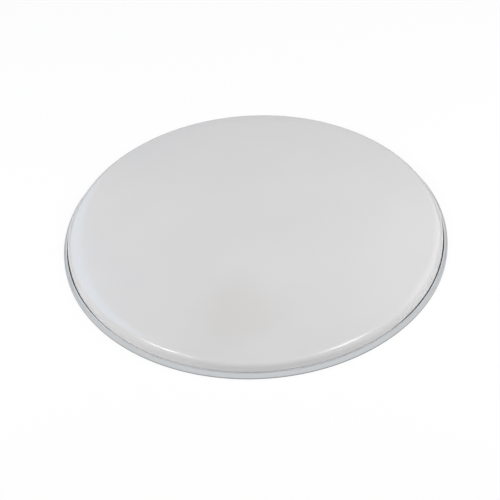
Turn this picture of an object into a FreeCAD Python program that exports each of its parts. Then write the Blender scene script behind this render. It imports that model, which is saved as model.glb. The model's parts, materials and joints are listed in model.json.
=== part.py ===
"""Head for a 22 inch bass drum: a formed polyester film locked in a rolled aluminium channel hoop.

Every piece is a pan or a ring, so each is drawn as one section in the plane of radius and height and
turned about the drum's axis. Z is up and is that axis, the film's playing surface is on top, and the
origin is the centre of the plane that the hoop stands on. All lengths are in millimetres.
"""
import FreeCAD, Part
import math
import os

# Drum that the head fits over
SHELL_DIAMETER = 558.8
SHELL_CLEARANCE = 1.9

# Film: one ply, formed hot into playing surface, crown and collar
FILM_THICKNESS = 0.25
COLLAR_RISE = 13.75
CROWN_RADIUS = 6.5

# Hoop: strip rolled to a channel, whose outer wall is rolled over inwards as a rounded lip
CHANNEL_WALL = 1.0
LIP_BEND_RADIUS = 4.2
HOOP_SEAM = 0.3
HOOP_SEAM_AT_DEG = 90.0

# Insert ring: bar that the film's hem is folded round, too wide to leave through the slot
INSERT_WIDTH = 3.9
INSERT_HEIGHT = 5.9
INSERT_SEAM = 0.4
INSERT_SEAM_AT_DEG = 270.0
HEM_TAIL = 4.0

# Adhesive under the hem, and the gaps between pieces
BED_DEPTH = 0.6
SLOT_GAP = 1.2
SEAT_CLEARANCE = 0.05

# Radii, from the drum's shell outwards
hoop_inner_radius = SHELL_DIAMETER / 2 + SHELL_CLEARANCE
cavity_inner_radius = hoop_inner_radius + CHANNEL_WALL
skirt_inner_radius = cavity_inner_radius + SEAT_CLEARANCE
skirt_outer_radius = skirt_inner_radius + FILM_THICKNESS
lip_inner_radius = skirt_outer_radius + SLOT_GAP
insert_inner_radius = lip_inner_radius
insert_outer_radius = insert_inner_radius + INSERT_WIDTH
hem_inner_radius = insert_outer_radius + SEAT_CLEARANCE
hem_outer_radius = hem_inner_radius + FILM_THICKNESS
cavity_outer_radius = hem_outer_radius + SEAT_CLEARANCE
hoop_outer_radius = cavity_outer_radius + CHANNEL_WALL

# Heights, from the standing plane upwards
bed_top = CHANNEL_WALL + BED_DEPTH
hem_underside = bed_top + SEAT_CLEARANCE
hem_floor = hem_underside + FILM_THICKNESS
insert_base = hem_floor + SEAT_CLEARANCE
insert_top = insert_base + INSERT_HEIGHT
tail_underside = insert_top + SEAT_CLEARANCE
tail_top = tail_underside + FILM_THICKNESS
lip_underside = tail_top + SEAT_CLEARANCE
inner_wall_top = lip_underside
hoop_top = lip_underside + CHANNEL_WALL
playing_height = hoop_top + COLLAR_RISE

# Bends over the insert's shoulder, from the hoop's lip inwards, all round one centre
lip_inside_bend = LIP_BEND_RADIUS - CHANNEL_WALL
hem_outside_bend = lip_inside_bend - SEAT_CLEARANCE
hem_inside_bend = hem_outside_bend - FILM_THICKNESS
insert_bend = hem_inside_bend - SEAT_CLEARANCE
shoulder_centre = FreeCAD.Vector(hoop_outer_radius - LIP_BEND_RADIUS, 0, hoop_top - LIP_BEND_RADIUS)

AXIS_POINT = FreeCAD.Vector(0, 0, 0)
AXIS = FreeCAD.Vector(0, 0, 1)
FULL_TURN_DEG = 360.0


def corner(radius, height):
    """Sharp corner of a section."""
    return FreeCAD.Vector(radius, 0, height)


def arc(centre, radius, start, end):
    """Arc of a section between two directions from its centre: 0 degrees is outwards, 90 is up."""
    angles = [math.radians(a) for a in (start, (start + end) / 2, end)]
    points = [centre + FreeCAD.Vector(math.cos(a), 0, math.sin(a)) * radius for a in angles]
    return Part.Arc(*points).toShape()


def bevels(centre, radius, start, end, count=1):
    """Corners of equal bevels in place of a round bend, each touching the round."""
    step = (end - start) / (count + 1)
    reach = radius / math.cos(math.radians(step / 2))
    angles = [math.radians(start + step * (i + 1 / 2)) for i in range(count + 1)]
    return [centre + FreeCAD.Vector(math.cos(a), 0, math.sin(a)) * reach for a in angles]


def bend(centre, radius, start, end, arcs=2):
    """Round bend of a section, as equal arcs end to end."""
    angles = [start + (end - start) * i / arcs for i in range(arcs + 1)]
    return [arc(centre, radius, a, b) for a, b in zip(angles, angles[1:])]


def outline(*stops):
    """Section through corners and bends in order, closed, with straight runs between them."""
    edges = []
    for stop, following in zip(stops, stops[1:] + stops[:1]):
        here, there = stop, following
        if isinstance(stop, list):
            edges += stop
            here = stop[-1].valueAt(stop[-1].LastParameter)
        if isinstance(following, list):
            there = following[0].valueAt(following[0].FirstParameter)
        if here.distanceToPoint(there) > Part.Precision.confusion():
            edges.append(Part.LineSegment(here, there).toShape())
    return Part.Face(Part.Wire(edges))


def turned(section, seam=0, seam_at=HOOP_SEAM_AT_DEG):
    """Solid made by turning a section about the axis, open by the seam's width where it has one.

    Turns without a seam start at the hoop's, so that the facets of nested pieces line up.
    """
    gap = math.degrees(seam / hoop_outer_radius)
    section.rotate(AXIS_POINT, AXIS, seam_at + gap / 2)
    return section.revolve(AXIS_POINT, AXIS, FULL_TURN_DEG - gap)


def film_head():
    """Film: flat playing surface, crown and upright collar, with its hem folded round the insert.

    The crown is split finer outside than inside, so that its outer facets keep within the thin wall.
    """
    crown_centre = corner(skirt_outer_radius - CROWN_RADIUS, playing_height - CROWN_RADIUS)
    tail_end_radius = hem_outer_radius - HEM_TAIL
    return turned(
        outline(
            corner(0, playing_height),
            bend(crown_centre, CROWN_RADIUS, 90, 0, arcs=4),
            corner(skirt_outer_radius, hem_floor),
            corner(hem_inner_radius, hem_floor),
            *bevels(shoulder_centre, hem_inside_bend, 0, 90),
            corner(tail_end_radius, tail_underside),
            corner(tail_end_radius, tail_top),
            *bevels(shoulder_centre, hem_outside_bend, 90, 0),
            corner(hem_outer_radius, hem_underside),
            corner(skirt_inner_radius, hem_underside),
            bend(crown_centre, CROWN_RADIUS - FILM_THICKNESS, 0, 90),
            corner(0, playing_height - FILM_THICKNESS),
        )
    )


def flesh_hoop():
    """Channel of strip, its outer wall rolled over as a lip that holds the hem's tail on the insert."""
    inner_foot = corner(cavity_inner_radius, CHANNEL_WALL)
    outer_foot = corner(cavity_outer_radius, CHANNEL_WALL)
    return turned(
        outline(
            *bevels(inner_foot, CHANNEL_WALL, 180, 270),
            *bevels(outer_foot, CHANNEL_WALL, 270, 360),
            *bevels(shoulder_centre, LIP_BEND_RADIUS, 0, 90, count=2),
            corner(lip_inner_radius, hoop_top),
            corner(lip_inner_radius, lip_underside),
            *bevels(shoulder_centre, lip_inside_bend, 90, 0),
            outer_foot,
            inner_foot,
            corner(cavity_inner_radius, inner_wall_top),
            corner(hoop_inner_radius, inner_wall_top),
        ),
        HOOP_SEAM,
        HOOP_SEAM_AT_DEG,
    )


def insert_ring():
    """Bar with a rounded shoulder, bent to a ring, with its butt seam opposite the hoop's."""
    return turned(
        outline(
            corner(insert_inner_radius, insert_base),
            corner(insert_outer_radius, insert_base),
            *bevels(shoulder_centre, insert_bend, 0, 90),
            corner(insert_inner_radius, insert_top),
        ),
        INSERT_SEAM,
        INSERT_SEAM_AT_DEG,
    )


def adhesive_bed():
    """Cured adhesive across the channel's floor, under the hem."""
    return turned(
        outline(
            corner(cavity_inner_radius, CHANNEL_WALL),
            corner(cavity_outer_radius, CHANNEL_WALL),
            corner(cavity_outer_radius, bed_top),
            corner(cavity_inner_radius, bed_top),
        )
    )


os.makedirs("parts", exist_ok=True)
for make_piece in (film_head, flesh_hoop, insert_ring, adhesive_bed):
    make_piece().exportStep(f"parts/{make_piece.__name__}.step")
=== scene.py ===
import json
import math

import bpy
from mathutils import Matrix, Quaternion, Vector


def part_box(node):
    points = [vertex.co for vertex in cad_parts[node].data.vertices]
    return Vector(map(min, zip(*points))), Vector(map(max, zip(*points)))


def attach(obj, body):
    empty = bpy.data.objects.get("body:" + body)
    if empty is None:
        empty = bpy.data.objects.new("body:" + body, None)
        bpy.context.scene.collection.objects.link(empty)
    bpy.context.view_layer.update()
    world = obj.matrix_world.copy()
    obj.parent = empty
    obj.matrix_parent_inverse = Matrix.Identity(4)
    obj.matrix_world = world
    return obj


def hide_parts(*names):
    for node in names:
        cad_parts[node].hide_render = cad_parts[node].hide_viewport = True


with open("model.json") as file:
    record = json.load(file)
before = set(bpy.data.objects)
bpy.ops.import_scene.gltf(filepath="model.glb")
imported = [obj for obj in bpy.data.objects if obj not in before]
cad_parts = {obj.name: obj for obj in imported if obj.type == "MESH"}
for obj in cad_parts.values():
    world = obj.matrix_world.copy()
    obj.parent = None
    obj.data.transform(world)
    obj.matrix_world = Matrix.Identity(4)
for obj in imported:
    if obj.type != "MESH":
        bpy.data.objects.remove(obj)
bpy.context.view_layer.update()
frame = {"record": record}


# Channel hoop
# Bright aluminium strip, roll-formed to a channel that opens upwards, bent to a ring and butted at the
# back. Once the film's hem is inside, its outer wall is rolled over inwards as a rounded lip, which
# leaves a slot round the film.

# Lengths here and below are in metres.
mount = {m["name"]: m for m in frame["record"]["mounts"]}
hoop_inner = mount["shell_bore"]["dims"]["r_mm"] / 1000
hoop_outer = mount["rim_guide"]["dims"]["r_mm"] / 1000
hoop_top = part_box("flesh_hoop")[1].z
strip = 0.0010
lip_bend = 0.0042
bend_inside = 0.0003
lip_burr = 0.0003
slot_gap = 0.0012
film_wall = 0.00025
seat_clearance = 0.00005
hoop_seam = 0.0003
hoop_seam_at = math.radians(90)
cavity_inner = hoop_inner + strip
cavity_outer = hoop_outer - strip
skirt_inner = cavity_inner + seat_clearance
skirt_outer = skirt_inner + film_wall
lip_inner = skirt_outer + slot_gap
shoulder_radius = hoop_outer - lip_bend
shoulder_height = hoop_top - lip_bend

ring_points = 385
edge_steps = 4
foot_steps = 8
lip_steps = 24
lip_inside_steps = 16
weld_distance = 1e-6
sharp_from = math.radians(35)

hoop_colour = (0.645, 0.661, 0.676)
hoop_streak = 0.08
hoop_roughness = 0.55
rolling_lines_per_metre = 2600
rolling_line_depth = 0.00002
scuffs_per_metre = 45
scuff_dulling = 0.18
# Painted shade along the hoop's foot: the height it reaches, and how dark it gets.
foot_shade_height = 0.0032
foot_shade_level = 0.40
# Painted light on the lip's edge at the front, painted shade on the slot's wall at the sides, and where
# the sides begin.
lip_edge_painted_light = 1.35
lip_edge_light_width = 0.0018
wall_painted_shade = 0.25
side_shade_off_centre = 0.02
side_shade_from = 0.200
side_shade_to = 0.260


def bend(radius, height, bend_radius, start, end, steps):
    """Points round a bend, given its centre as radius and height: 0 degrees is outwards, 90 is up."""
    angles = [math.radians(start + (end - start) * i / steps) for i in range(steps + 1)]
    return [(radius + bend_radius * math.cos(a), height + bend_radius * math.sin(a)) for a in angles]


def start_shaping(name, inputs):
    """Geometry Nodes that take a shape, named inputs and a material, and give a piece."""
    tree = bpy.data.node_groups.new(name, "GeometryNodeTree")
    new_socket = tree.interface.new_socket
    new_socket("Shape", in_out="INPUT", socket_type="NodeSocketGeometry")
    for label, kind in inputs.items():
        new_socket(label, in_out="INPUT", socket_type=kind)
    new_socket("Material", in_out="INPUT", socket_type="NodeSocketMaterial")
    new_socket("Piece", in_out="OUTPUT", socket_type="NodeSocketGeometry")
    return tree, tree.nodes.new("NodeGroupInput").outputs


def end_shaping(tree, shape, material):
    """Ends a tree of Geometry Nodes in a real mesh with its material."""
    add, link = tree.nodes.new, tree.links.new
    real = add("GeometryNodeRealizeInstances")
    link(shape, real.inputs[0])
    coated = add("GeometryNodeSetMaterial")
    link(real.outputs[0], coated.inputs["Geometry"])
    link(material, coated.inputs["Material"])
    link(coated.outputs[0], add("NodeGroupOutput").inputs["Piece"])


def feed(tree, value, socket):
    """Puts a plain number, or what another node gives, into a node's input."""
    if isinstance(value, (int, float)):
        socket.default_value = value
    else:
        tree.links.new(value, socket)


def worked_out(tree, operation, *values):
    """A sum worked out on plain numbers and on what other nodes give."""
    working = tree.nodes.new("ShaderNodeMath")
    working.operation = operation
    for value, socket in zip(values, working.inputs):
        feed(tree, value, socket)
    return working.outputs[0]


def turning_tree():
    """Geometry Nodes that turn a section, drawn as radius and height, about the drum's axis."""
    inputs = {
        "Path Radius": "NodeSocketFloat",
        "Path Points": "NodeSocketInt",
        "Start Angle": "NodeSocketFloat",
        "Sweep Angle": "NodeSocketFloat",
        "Close Ends": "NodeSocketBool",
    }
    tree, given = start_shaping("turned_section", inputs)
    add, link = tree.nodes.new, tree.links.new

    # The sweep lays a section's height downwards, so the section is turned over first.
    shift = add("ShaderNodeCombineXYZ")
    link(worked_out(tree, "MULTIPLY", given["Path Radius"], -1), shift.inputs["X"])
    from_path = add("GeometryNodeTransform")
    from_path.inputs["Rotation"].default_value = (math.pi, 0, 0)
    link(given["Shape"], from_path.inputs["Geometry"])
    link(shift.outputs[0], from_path.inputs["Translation"])
    section = add("GeometryNodeMeshToCurve")
    link(from_path.outputs[0], section.inputs[0])

    path = add("GeometryNodeCurveArc")
    link(given["Path Points"], path.inputs["Resolution"])
    link(given["Path Radius"], path.inputs["Radius"])
    link(given["Start Angle"], path.inputs["Start Angle"])
    link(given["Sweep Angle"], path.inputs["Sweep Angle"])
    outwards = add("ShaderNodeVectorMath")
    outwards.operation = "NORMALIZE"
    link(add("GeometryNodeInputPosition").outputs[0], outwards.inputs[0])
    level = add("GeometryNodeSetCurveNormal")
    level.mode = "FREE"
    link(path.outputs["Curve"], level.inputs["Curve"])
    link(outwards.outputs[0], level.inputs["Normal"])

    sweep = add("GeometryNodeCurveToMesh")
    link(level.outputs["Curve"], sweep.inputs["Curve"])
    link(section.outputs["Curve"], sweep.inputs["Profile Curve"])
    link(given["Close Ends"], sweep.inputs["Fill Caps"])
    welded = add("GeometryNodeMergeByDistance")
    welded.inputs["Distance"].default_value = weld_distance
    link(sweep.outputs[0], welded.inputs["Geometry"])
    end_shaping(tree, welded.outputs[0], given["Material"])
    return tree


turned_section = turning_tree()


def set_inputs(piece, tree, values):
    """Adds a Geometry Nodes modifier to a piece and sets its named inputs."""
    modifier = piece.modifiers.new(tree.name, "NODES")
    modifier.node_group = tree
    for socket in tree.interface.items_tree:
        if socket.in_out == "INPUT" and socket.name in values:
            modifier[socket.identifier] = values[socket.name]


def settle(piece):
    """Turns a piece's modifiers into a plain mesh, smooth but for its sharp edges."""
    depsgraph = bpy.context.evaluated_depsgraph_get()
    mesh = bpy.data.meshes.new_from_object(piece.evaluated_get(depsgraph), depsgraph=depsgraph)
    piece.modifiers.clear()
    piece.data = mesh
    mesh.name = piece.name
    mesh.shade_smooth()
    mesh.set_sharp_from_angle(angle=sharp_from)


def turned(name, section, material, closed=True, seam=0.0, seam_at=0.0):
    """A piece whose section is turned about the axis, open by the seam's width where it has one."""
    links = [(i, i + 1) for i in range(len(section) - 1)]
    if closed:
        links.append((len(section) - 1, 0))
    outline = bpy.data.meshes.new(name)
    outline.from_pydata([(radius, height, 0) for radius, height in section], links, [])
    piece = bpy.data.objects.new(name, outline)
    bpy.context.scene.collection.objects.link(piece)
    gap = seam / hoop_outer
    values = {
        "Path Radius": hoop_inner,
        "Path Points": ring_points,
        "Start Angle": seam_at + gap / 2,
        "Sweep Angle": math.tau - gap,
        "Close Ends": seam > 0,
        "Material": material,
    }
    set_inputs(piece, turned_section, values)
    return piece


def new_finish(name):
    """A new material, with its node tree and its shader."""
    material = bpy.data.materials.new(name)
    material.use_nodes = True
    tree = material.node_tree
    return material, tree, tree.nodes["Principled BSDF"]


def place_on_piece(tree):
    """Where a point lies on its piece, as one vector and along each axis."""
    place = tree.nodes.new("ShaderNodeTexCoord").outputs["Object"]
    axes = tree.nodes.new("ShaderNodeSeparateXYZ")
    tree.links.new(place, axes.inputs[0])
    return place, axes.outputs


def from_axis(tree, axes):
    """How far a point lies from the drum's axis."""
    flat = tree.nodes.new("ShaderNodeCombineXYZ")
    tree.links.new(axes["X"], flat.inputs["X"])
    tree.links.new(axes["Y"], flat.inputs["Y"])
    radius = tree.nodes.new("ShaderNodeVectorMath")
    radius.operation = "LENGTH"
    tree.links.new(flat.outputs[0], radius.inputs[0])
    return radius.outputs["Value"]


def mottled(tree, place, per_metre, detail):
    """Uneven marks, as a level from 0 to 1."""
    marks = tree.nodes.new("ShaderNodeTexNoise")
    marks.inputs["Scale"].default_value = per_metre
    marks.inputs["Detail"].default_value = detail
    tree.links.new(place, marks.inputs["Vector"])
    return marks.outputs["Fac"]


def graded(tree, value, limits, levels=(0.0, 1.0), smooth=False):
    """A value turned into a level, which changes between two limits and is even outside them."""
    grade = tree.nodes.new("ShaderNodeMapRange")
    grade.interpolation_type = "SMOOTHSTEP" if smooth else "LINEAR"
    feed(tree, value, grade.inputs["Value"])
    feed(tree, limits[0], grade.inputs["From Min"])
    feed(tree, limits[1], grade.inputs["From Max"])
    feed(tree, levels[0], grade.inputs["To Min"])
    feed(tree, levels[1], grade.inputs["To Max"])
    return grade.outputs[0]


def toned(tree, level, tones):
    """A level turned into a colour, through tones that are each given with their level, lowest first."""
    ramp = tree.nodes.new("ShaderNodeValToRGB")
    stops = ramp.color_ramp.elements
    stops[0].position = tones[0][0]
    stops[1].position = tones[-1][0]
    for stop_level, _ in tones[1:-1]:
        stops.new(stop_level)
    for stop, (_, colour) in zip(stops, tones):
        stop.color = (*colour, 1)
    tree.links.new(level, ramp.inputs["Fac"])
    return ramp.outputs["Color"]


def shaded(tree, colour, level):
    """A colour made darker or brighter by a level."""
    shade = tree.nodes.new("ShaderNodeVectorMath")
    shade.operation = "SCALE"
    tree.links.new(colour, shade.inputs[0])
    tree.links.new(level, shade.inputs["Scale"])
    return shade.outputs[0]


def mixed(tree, share, first, second):
    """A level between two others, by the second one's share."""
    mix = tree.nodes.new("ShaderNodeMix")
    feed(tree, share, mix.inputs["Factor"])
    feed(tree, first, mix.inputs["A"])
    feed(tree, second, mix.inputs["B"])
    return mix.outputs["Result"]


def raise_relief(tree, shader, height, strength, depth):
    """Lets fine relief show in how a surface takes the light."""
    relief = tree.nodes.new("ShaderNodeBump")
    relief.inputs["Strength"].default_value = strength
    relief.inputs["Distance"].default_value = depth
    tree.links.new(height, relief.inputs["Height"])
    tree.links.new(relief.outputs[0], shader.inputs["Normal"])


def rolled_aluminium(name, colour, streak, roughness, foot):
    """Aluminium with fine lines along its rolling direction, round the ring, and a few dull scuffs.

    Below a given height its foot is darkened, as painted shade where it stands on the floor.
    """
    material, tree, shader = new_finish(name)
    shader.inputs["Metallic"].default_value = 1.0
    place, axes = place_on_piece(tree)
    across = tree.nodes.new("ShaderNodeCombineXYZ")
    tree.links.new(from_axis(tree, axes), across.inputs["X"])
    tree.links.new(axes["Z"], across.inputs["Y"])
    lines = mottled(tree, across.outputs[0], rolling_lines_per_metre, detail=4)
    scuffs = mottled(tree, place, scuffs_per_metre, detail=6)

    halves = [worked_out(tree, "MULTIPLY", marks, 0.5) for marks in (lines, scuffs)]
    dark = [c * (1 - streak) for c in colour]
    light = [min(c * (1 + streak), 1) for c in colour]
    clean = toned(tree, worked_out(tree, "ADD", *halves), ((0.30, dark), (0.70, light)))
    # Painted shade darkens the foot.
    painted_shading = graded(tree, axes["Z"], (foot / 3, foot), (foot_shade_level, 1.0))
    tree.links.new(shaded(tree, clean, painted_shading), shader.inputs["Base Color"])

    dulled = graded(tree, scuffs, (0.35, 0.70), (roughness, roughness + scuff_dulling))
    tree.links.new(dulled, shader.inputs["Roughness"])
    raise_relief(tree, shader, lines, strength=0.25, depth=rolling_line_depth)
    return material


def side_shade_share(tree, axes):
    """Share of painted shade in the slot: none at the front, rising to both sides, a little more to the
    right.
    """
    aside = worked_out(tree, "ABSOLUTE", worked_out(tree, "ADD", axes["X"], side_shade_off_centre))
    return graded(tree, aside, (side_shade_from, side_shade_to), smooth=True)


def paint_slot_edge_shading(material):
    """Paints a highlight on the lip's edge at the front, and shade on its wall at the sides."""
    tree = material.node_tree
    base = tree.nodes["Principled BSDF"].inputs["Base Color"]
    plain = base.links[0].from_socket
    _, axes = place_on_piece(tree)
    radius = from_axis(tree, axes)
    burr_end = lip_inner + lip_burr
    # Painted light on the lip's edge, and painted shade on its wall, which takes over at the sides.
    lit_edge = graded(tree, radius, (burr_end, lip_inner + lip_edge_light_width), (lip_edge_painted_light, 1.0))
    shaded_wall = graded(tree, radius, (lip_inner + lip_burr / 6, burr_end), (wall_painted_shade, 1.0))
    edge = mixed(tree, side_shade_share(tree, axes), lit_edge, shaded_wall)
    at_lip = graded(tree, axes["Z"], (hoop_top - 2 * strip, hoop_top - 1.5 * strip))
    tree.links.new(shaded(tree, plain, mixed(tree, at_lip, 1.0, edge)), base)


hoop_metal = rolled_aluminium("hoop_aluminium", hoop_colour, hoop_streak, hoop_roughness, foot_shade_height)
# Painted light and shade along the slot's edge.
paint_slot_edge_shading(hoop_metal)
hoop_section = (
    bend(hoop_inner + strip, strip, strip, 180, 270, foot_steps)
    + bend(hoop_outer - strip, strip, strip, 270, 360, foot_steps)
    + bend(shoulder_radius, shoulder_height, lip_bend, 0, 90, lip_steps)
    + bend(lip_inner + lip_burr, hoop_top - lip_burr, lip_burr, 90, 180, edge_steps)
    + bend(lip_inner + lip_burr, hoop_top - strip + lip_burr, lip_burr, 180, 270, edge_steps)
    + bend(shoulder_radius, shoulder_height, lip_bend - strip, 90, 0, lip_inside_steps)
    + bend(cavity_outer - bend_inside, strip + bend_inside, bend_inside, 0, -90, edge_steps)
    + bend(cavity_inner + bend_inside, strip + bend_inside, bend_inside, 270, 180, edge_steps)
    + bend(cavity_inner - lip_burr, hoop_top - strip - lip_burr, lip_burr, 0, 90, edge_steps)
    + bend(hoop_inner + lip_burr, hoop_top - strip - lip_burr, lip_burr, 90, 180, edge_steps)
)
hoop = turned("channel_hoop", hoop_section, hoop_metal, seam=hoop_seam, seam_at=hoop_seam_at)
settle(hoop)
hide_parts("flesh_hoop")
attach(hoop, "root")


# Adhesive bed
# Amber adhesive that is run into the open channel before the hem goes in. It cures across the channel's
# floor, where it fills the corners, and keeps the hem and the insert from rattling.
bed_low, bed_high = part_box("adhesive_bed")

dark_amber = (0.56, 0.44, 0.24)
pale_amber = (0.78, 0.68, 0.46)
amber_clouds_per_metre = 160
amber_roughness = (0.25, 0.55)


def cured_adhesive():
    """Cloudy amber, glossy where it wetted the metal."""
    material, tree, shader = new_finish("cured_adhesive")
    place, _ = place_on_piece(tree)
    clouds = mottled(tree, place, amber_clouds_per_metre, detail=3)
    tone = toned(tree, clouds, ((0.0, dark_amber), (1.0, pale_amber)))
    tree.links.new(tone, shader.inputs["Base Color"])
    tree.links.new(graded(tree, clouds, (0.0, 1.0), amber_roughness), shader.inputs["Roughness"])
    return material


bed_section = [
    (cavity_inner + bend_inside, bed_low.z),
    (cavity_outer - bend_inside, bed_low.z),
    (cavity_outer, bed_low.z + bend_inside),
    (cavity_outer, bed_high.z),
    (cavity_inner, bed_high.z),
    (cavity_inner, bed_low.z + bend_inside),
]
bed = turned("adhesive_ring", bed_section, cured_adhesive())
settle(bed)
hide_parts("adhesive_bed")
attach(bed, "root")


# Insert ring
# Aluminium bar with a rounded shoulder, bent to a ring that butts at the front, opposite the hoop's
# seam. The film's hem is folded round it, and it is too wide to come out through the slot.
insert_low, insert_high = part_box("insert_ring")
insert_inner = lip_inner
insert_outer = cavity_outer - 2 * seat_clearance - film_wall
insert_edge = 0.0004
insert_bend = insert_outer - shoulder_radius
insert_seam = 0.0004
insert_seam_at = math.radians(270)
shoulder_steps = 12

# A darker grey than the hoop's aluminium: painted shade deep in the slot.
insert_shaded_colour = (0.40, 0.405, 0.41)
insert_streak = 0.14
insert_roughness = 0.50

insert_section = (
    bend(insert_inner + insert_edge, insert_low.z + insert_edge, insert_edge, 180, 270, edge_steps)
    + bend(insert_outer - insert_edge, insert_low.z + insert_edge, insert_edge, 270, 360, edge_steps)
    + bend(shoulder_radius, shoulder_height, insert_bend, 0, 90, shoulder_steps)
    + bend(insert_inner + insert_edge, insert_high.z - insert_edge, insert_edge, 90, 180, edge_steps)
)
insert_metal = rolled_aluminium(
    "insert_aluminium", insert_shaded_colour, insert_streak, insert_roughness, insert_low.z
)
insert = turned("insert_bar", insert_section, insert_metal, seam=insert_seam, seam_at=insert_seam_at)
settle(insert)
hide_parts("insert_ring")
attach(insert, "root")


# Film
# One ply of white polyester film, formed hot into a flat playing surface, a round crown and an upright
# collar. Its skirt goes down through the slot, and its hem is folded under, up and over the insert ring.
film_low, film_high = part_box("film_head")
film_top = film_high.z
crown_radius = 0.0065
crown_inner = skirt_outer - crown_radius
rim_fall_radius = 0.200
rim_fall_deg = 4.0
rim_fall = math.radians(rim_fall_deg)
crown_from = 90 - rim_fall_deg
rim_fall_low = film_top - rim_fall_radius
flat_radius = crown_inner - (rim_fall_radius - crown_radius) * math.sin(rim_fall)
crown_low = film_top - crown_radius - (rim_fall_radius - crown_radius) * (1 - math.cos(rim_fall))
hem_fold = insert_edge + seat_clearance
hem_inner = insert_outer + seat_clearance
hem_outer = hem_inner + film_wall
hem_floor = film_low.z + film_wall
hem_tail = 0.0040
tail_low = insert_high.z + seat_clearance
tail_high = tail_low + film_wall
tail_end = hem_outer - hem_tail

playing_rings = 44
rim_fall_steps = 6
crown_steps = 16
collar_rings = 10
ripple_depth = 0.0003
ripples_per_metre = 5.0
ripple_seed = 3.0

film_ior = 1.5
cool_white = (0.909, 0.901, 0.908)
warm_white = (0.945, 0.929, 0.929)
film_clouds_per_metre = 7
film_marks_per_metre = 60
film_roughness = (0.07, 0.11)
film_grain_per_metre = 1800
film_grain_depth = 0.00005
# Painted shade in the slot below the lip, raised at the sides, and painted light on the collar up to a
# height above the lip.
slot_shade_depth = 0.0035
side_shade_rise = 0.0023
collar_light_height = 0.0070
# Greys from painted shade deep in the slot, through painted light on the collar's foot, to the film's own
# grey, each with its share of that height.
slot_shade_greys = ((0.0, 0.08), (0.14, 0.12))
collar_light_greys = ((0.22, 1.0), (0.36, 1.0))
fade_to_film_greys = ((0.60, 0.78), (1.0, 0.695))
played_patch = (-0.023, -0.16, film_top)
patch_unevenness = 0.15
patch_fading = (0.08, 0.20)
patch_yellow = (0.965, 0.955, 0.935)
no_tint = (1, 1, 1)


def run(start, end, steps):
    """Points along a straight run of a section, without its two ends."""
    shares = [i / steps for i in range(1, steps)]
    return [(start[0] + (end[0] - start[0]) * s, start[1] + (end[1] - start[1]) * s) for s in shares]


def film_ripple_tree():
    """Geometry Nodes that let the formed film waver a little above the hoop, where nothing holds it."""
    names = ("Depth", "Ripples Per Metre", "Seed", "Held Below", "Free Above")
    tree, given = start_shaping("film_ripple", {name: "NodeSocketFloat" for name in names})
    add, link = tree.nodes.new, tree.links.new
    axes = add("ShaderNodeSeparateXYZ")
    link(add("GeometryNodeInputPosition").outputs[0], axes.inputs[0])
    plan = add("ShaderNodeCombineXYZ")
    link(axes.outputs["X"], plan.inputs["X"])
    link(axes.outputs["Y"], plan.inputs["Y"])
    ripple = add("ShaderNodeTexNoise")
    ripple.noise_dimensions = "4D"
    ripple.inputs["Detail"].default_value = 1
    link(plan.outputs[0], ripple.inputs["Vector"])
    link(given["Ripples Per Metre"], ripple.inputs["Scale"])
    link(given["Seed"], ripple.inputs["W"])
    centred = worked_out(tree, "SUBTRACT", ripple.outputs["Fac"], 0.5)
    free = graded(tree, axes.outputs["Z"], (given["Held Below"], given["Free Above"]), smooth=True)
    lift = worked_out(tree, "MULTIPLY", centred, free)
    offset = add("ShaderNodeCombineXYZ")
    link(worked_out(tree, "MULTIPLY", lift, given["Depth"]), offset.inputs["Z"])
    moved = add("GeometryNodeSetPosition")
    link(given["Shape"], moved.inputs["Geometry"])
    link(offset.outputs[0], moved.inputs["Offset"])
    end_shaping(tree, moved.outputs[0], given["Material"])
    return tree


def tinted(tree, colour, tint):
    """A colour with a tint laid over it."""
    over = tree.nodes.new("ShaderNodeVectorMath")
    over.operation = "MULTIPLY"
    tree.links.new(colour, over.inputs[0])
    tree.links.new(tint, over.inputs[1])
    return over.outputs[0]


def white_film():
    """Smooth white film: soft gloss and faint clouds, and painted light on the collar's foot above the
    lip.

    One patch is a little yellowed where it was played. Painted shade lies deep in the slot, higher at the
    sides.
    """
    material, tree, shader = new_finish("white_film")
    shader.inputs["IOR"].default_value = film_ior
    place, axes = place_on_piece(tree)
    clouds = mottled(tree, place, film_clouds_per_metre, detail=2)
    white = toned(tree, clouds, ((0.30, cool_white), (0.70, warm_white)))

    # Painted shade deep in the slot, higher at the sides, and painted light on the collar's foot.
    side_rise = worked_out(tree, "MULTIPLY", side_shade_share(tree, axes), side_shade_rise)
    above_side_rise = worked_out(tree, "SUBTRACT", axes["Z"], side_rise)
    height = graded(tree, above_side_rise, (hoop_top - slot_shade_depth, hoop_top + collar_light_height))
    greys = slot_shade_greys + collar_light_greys + fade_to_film_greys
    painted_shading = toned(tree, height, [(share, (grey, grey, grey)) for share, grey in greys])

    from_patch = tree.nodes.new("ShaderNodeVectorMath")
    from_patch.operation = "DISTANCE"
    from_patch.inputs[1].default_value = played_patch
    tree.links.new(place, from_patch.inputs[0])
    uneven = worked_out(tree, "MULTIPLY_ADD", clouds, patch_unevenness, from_patch.outputs["Value"])
    fading = graded(tree, uneven, patch_fading, smooth=True)
    yellowing = toned(tree, fading, ((0.0, patch_yellow), (1.0, no_tint)))
    tree.links.new(tinted(tree, tinted(tree, white, painted_shading), yellowing), shader.inputs["Base Color"])

    marks = mottled(tree, place, film_marks_per_metre, detail=5)
    tree.links.new(graded(tree, marks, (0.35, 0.65), film_roughness), shader.inputs["Roughness"])
    grain = mottled(tree, place, film_grain_per_metre, detail=2)
    raise_relief(tree, shader, grain, strength=0.06, depth=film_grain_depth)
    return material


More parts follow.
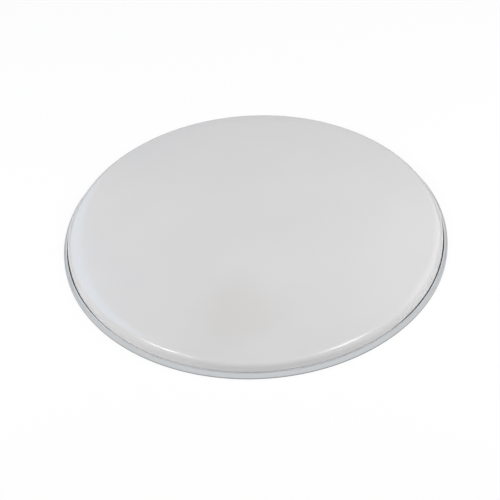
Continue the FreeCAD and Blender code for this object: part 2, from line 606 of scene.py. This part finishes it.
film_section = (
    [(0, film_top)]
    + run((0, film_top), (flat_radius, film_top), playing_rings)
    + bend(flat_radius, rim_fall_low, rim_fall_radius, 90, crown_from, rim_fall_steps)[:-1]
    + bend(crown_inner, crown_low, crown_radius, crown_from, 0, crown_steps)
    + run((skirt_outer, crown_low), (skirt_outer, hem_floor + hem_fold), collar_rings)
    + bend(skirt_outer + hem_fold, hem_floor + hem_fold, hem_fold, 180, 270, edge_steps)
    + bend(hem_inner - hem_fold, hem_floor + hem_fold, hem_fold, 270, 360, edge_steps)
    + bend(shoulder_radius, shoulder_height, hem_inner - shoulder_radius, 0, 90, shoulder_steps)
    + [(tail_end, tail_low), (tail_end, tail_high)]
    + bend(shoulder_radius, shoulder_height, hem_outer - shoulder_radius, 90, 0, shoulder_steps)
    + bend(hem_inner - hem_fold, hem_floor + hem_fold, hem_fold + film_wall, 360, 270, edge_steps)
    + bend(skirt_outer + hem_fold, hem_floor + hem_fold, hem_fold + film_wall, 270, 180, edge_steps)
    + run((skirt_inner, hem_floor + hem_fold), (skirt_inner, crown_low), collar_rings)
    + bend(crown_inner, crown_low, crown_radius - film_wall, 0, crown_from, crown_steps)
    + bend(flat_radius, rim_fall_low, rim_fall_radius - film_wall, crown_from, 90, rim_fall_steps)[1:]
    + run((flat_radius, film_top - film_wall), (0, film_top - film_wall), playing_rings)
    + [(0, film_top - film_wall)]
)
film_finish = white_film()
film = turned("film_skin", film_section, film_finish, closed=False)
ripple = {
    "Depth": ripple_depth,
    "Ripples Per Metre": ripples_per_metre,
    "Seed": ripple_seed,
    "Held Below": hoop_top,
    "Free Above": film_top,
    "Material": film_finish,
}
set_inputs(film, film_ripple_tree(), ripple)
settle(film)
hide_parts("film_head")
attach(film, "root")


# Floor
# Plain white paper, laid flat and far wider than the head that lies on it. It shows white to the eye
# and in the metal, and keeps the head's soft shadow.
floor_size = 8.0
floor_drop = 0.0002
paper_white = (0.95, 0.95, 0.95, 1)
paper_roughness = 0.9
paper_glow = 0.90


def seen_share(tree):
    """1 for what the eye sees, straight, mirrored or through glass, and 0 for what lights the head."""
    rays = tree.nodes.new("ShaderNodeLightPath").outputs
    straight_or_mirrored = worked_out(tree, "MAXIMUM", rays["Is Camera Ray"], rays["Is Glossy Ray"])
    return worked_out(tree, "MAXIMUM", straight_or_mirrored, rays["Is Transmission Ray"])


def show_instead(tree, share, plain, shown, output):
    """Shows one shader in place of another, by a share."""
    mix = tree.nodes.new("ShaderNodeMixShader")
    tree.links.new(share, mix.inputs["Fac"])
    tree.links.new(plain.outputs[0], mix.inputs[1])
    tree.links.new(shown.outputs[0], mix.inputs[2])
    tree.links.new(mix.outputs[0], tree.nodes[output].inputs["Surface"])


def white_paper():
    """Paper that looks white to the camera and in reflections, with part of its own shading left in."""
    material, tree, paper = new_finish("white_paper")
    paper.inputs["Base Color"].default_value = paper_white
    paper.inputs["Roughness"].default_value = paper_roughness
    paper.inputs["Specular IOR Level"].default_value = 0.0
    glow = tree.nodes.new("ShaderNodeEmission")
    share = worked_out(tree, "MULTIPLY", seen_share(tree), paper_glow)
    show_instead(tree, share, paper, glow, "Material Output")
    return material


floor_mesh = bpy.data.meshes.new("paper_floor")
half = floor_size / 2
corners = [(-half, -half), (half, -half), (half, half), (-half, half)]
floor_mesh.from_pydata([(x, y, -floor_drop) for x, y in corners], [], [(0, 1, 2, 3)])
floor_mesh.materials.append(white_paper())
floor = bpy.data.objects.new("paper_floor", floor_mesh)
bpy.context.scene.collection.objects.link(floor)


# Light
# White surroundings, with a softbox and a low wall of light on each side and two far panels in front,
# none of which the metal mirrors. Behind, two cards and two narrow strips show as glints along the
# film's crown, and two low flags of black felt draw the hoop's sides against the white floor.
surroundings_light = 0.13
backdrop_light = 1.0
pure_white = (1, 1, 1, 1)

# Each lamp has its place, its width and length, and its watts, and a card has its colour too.
soft_lamps = {
    "right_softbox": ((0.75, -0.10, 0.75), (0.70, 0.70), 5.2),
    "left_softbox": ((-0.75, -0.10, 0.75), (0.70, 0.70), 3.9),
    "right_wall": ((1.3, -0.2, 0.35), (1.6, 0.7), 1.1),
    "left_wall": ((-1.3, -0.2, 0.35), (1.6, 0.7), 1.5),
    "right_panel": ((3.2, -3.8, 4.2), (2.2, 2.2), 56),
    "left_panel": ((-3.2, -3.8, 4.2), (2.2, 2.2), 115),
}
cards = {
    "right_card": ((0.74, 1.55, 1.55), (0.58, 0.60), 1.5, (1, 0.97, 1)),
    "left_card": ((-0.63, 1.55, 1.55), (0.64, 0.60), 1.8, (0.3, 0.65, 1)),
}
level_strips = {
    "right_strip": ((0.315, 1.10, 2.0), (0.13, 0.66), 3.0),
    "left_strip": ((-0.365, 1.10, 2.0), (0.12, 0.66), 3.2),
}

flag_width = 1.6
flag_height = 0.8
flag_places = {"right_flag": (1.1, 1.2), "left_flag": (-1.1, 1.2)}
felt_nap_per_metre = 40
felt_dark = (0.02, 0.02, 0.02)
felt_light = (0.04, 0.04, 0.04)


def soft_surroundings():
    """White all round to the eye, and dimmer as a light on the head."""
    world = bpy.data.worlds.new("soft_surroundings")
    world.use_nodes = True
    tree = world.node_tree
    soft_light = tree.nodes["Background"]
    backdrop = tree.nodes.new("ShaderNodeBackground")
    for background, strength in ((soft_light, surroundings_light), (backdrop, backdrop_light)):
        background.inputs["Color"].default_value = pure_white
        background.inputs["Strength"].default_value = strength
    show_instead(tree, seen_share(tree), soft_light, backdrop, "World Output")
    return world


def hung_lamp(name, place, size, watts):
    """Area lamp hung level at a place."""
    lamp = bpy.data.lights.new(name, "AREA")
    lamp.shape = "RECTANGLE"
    lamp.size, lamp.size_y = size
    lamp.energy = watts
    hung = bpy.data.objects.new(name, lamp)
    hung.location = place
    bpy.context.scene.collection.objects.link(hung)
    return hung


def turn_to_head(lamp):
    """Turns a hung lamp towards the middle of the head."""
    lamp.rotation_euler = (-lamp.location).to_track_quat("-Z", "Y").to_euler()


def black_felt():
    """Black felt with a faint nap, which takes most of the light."""
    material, tree, shader = new_finish("black_felt")
    shader.inputs["Roughness"].default_value = 1.0
    place, _ = place_on_piece(tree)
    nap = mottled(tree, place, felt_nap_per_metre, detail=2)
    tree.links.new(toned(tree, nap, ((0.0, felt_dark), (1.0, felt_light))), shader.inputs["Base Color"])
    return material


bpy.context.scene.world = soft_surroundings()
for name, (place, size, watts) in soft_lamps.items():
    soft_lamp = hung_lamp(name, place, size, watts)
    soft_lamp.visible_glossy = False
    turn_to_head(soft_lamp)
for name, (place, size, watts, colour) in cards.items():
    card = hung_lamp(name, place, size, watts)
    card.data.color = colour
    turn_to_head(card)
for name, (place, size, watts) in level_strips.items():
    hung_lamp(name, place, size, watts)

# Each flag stands square to the line from the head to its place.
felt = black_felt()
flag_rise = Vector((0, 0, flag_height))
for name, (across, back) in flag_places.items():
    middle = Vector((across, back, 0))
    half_width = Vector((back, -across, 0)).normalized() * flag_width / 2
    feet = [middle - half_width, middle + half_width]
    flag_mesh = bpy.data.meshes.new(name)
    flag_mesh.from_pydata(feet + [feet[1] + flag_rise, feet[0] + flag_rise], [], [(0, 1, 2, 3)])
    flag_mesh.materials.append(felt)
    flag = bpy.data.objects.new(name, flag_mesh)
    flag.visible_camera = False
    bpy.context.scene.collection.objects.link(flag)


# Camera
# Stands well back in front of the head, 42 degrees above the floor, and is turned a little about its own
# line of sight. Its lens and aim put the head where it lies in a square picture.
picture_px = 500
head_scale_px = 191.85
head_centre_px = (255.72, 247.50)
view_elevation = math.radians(42.10)
view_roll = math.radians(-2.93)
view_distance = 30 * hoop_outer
view_limit = 20.0
sensor_width_mm = 36.0

camera_data = bpy.data.cameras.new("camera")
camera_data.sensor_width = sensor_width_mm
camera_data.lens = sensor_width_mm * head_scale_px * view_distance / hoop_outer / picture_px
camera_data.clip_end = view_limit
camera = bpy.data.objects.new("camera", camera_data)
towards_camera = Vector((0, -math.cos(view_elevation), math.sin(view_elevation)))
camera.location = towards_camera * view_distance
level_view = (-towards_camera).to_track_quat("-Z", "Y")
rolled_view = level_view @ Quaternion((0, 0, 1), view_roll)
off_centre = Vector((head_centre_px[0] - picture_px / 2, picture_px / 2 - head_centre_px[1], 0))
aim = rolled_view @ (off_centre * -hoop_outer / head_scale_px)
line_of_sight = aim - camera.location
turn = (-towards_camera).rotation_difference(line_of_sight)
camera.rotation_mode = "QUATERNION"
camera.rotation_quaternion = turn @ rolled_view
bpy.context.scene.collection.objects.link(camera)
bpy.context.scene.camera = camera
bpy.context.scene.view_settings.view_transform = "Standard"
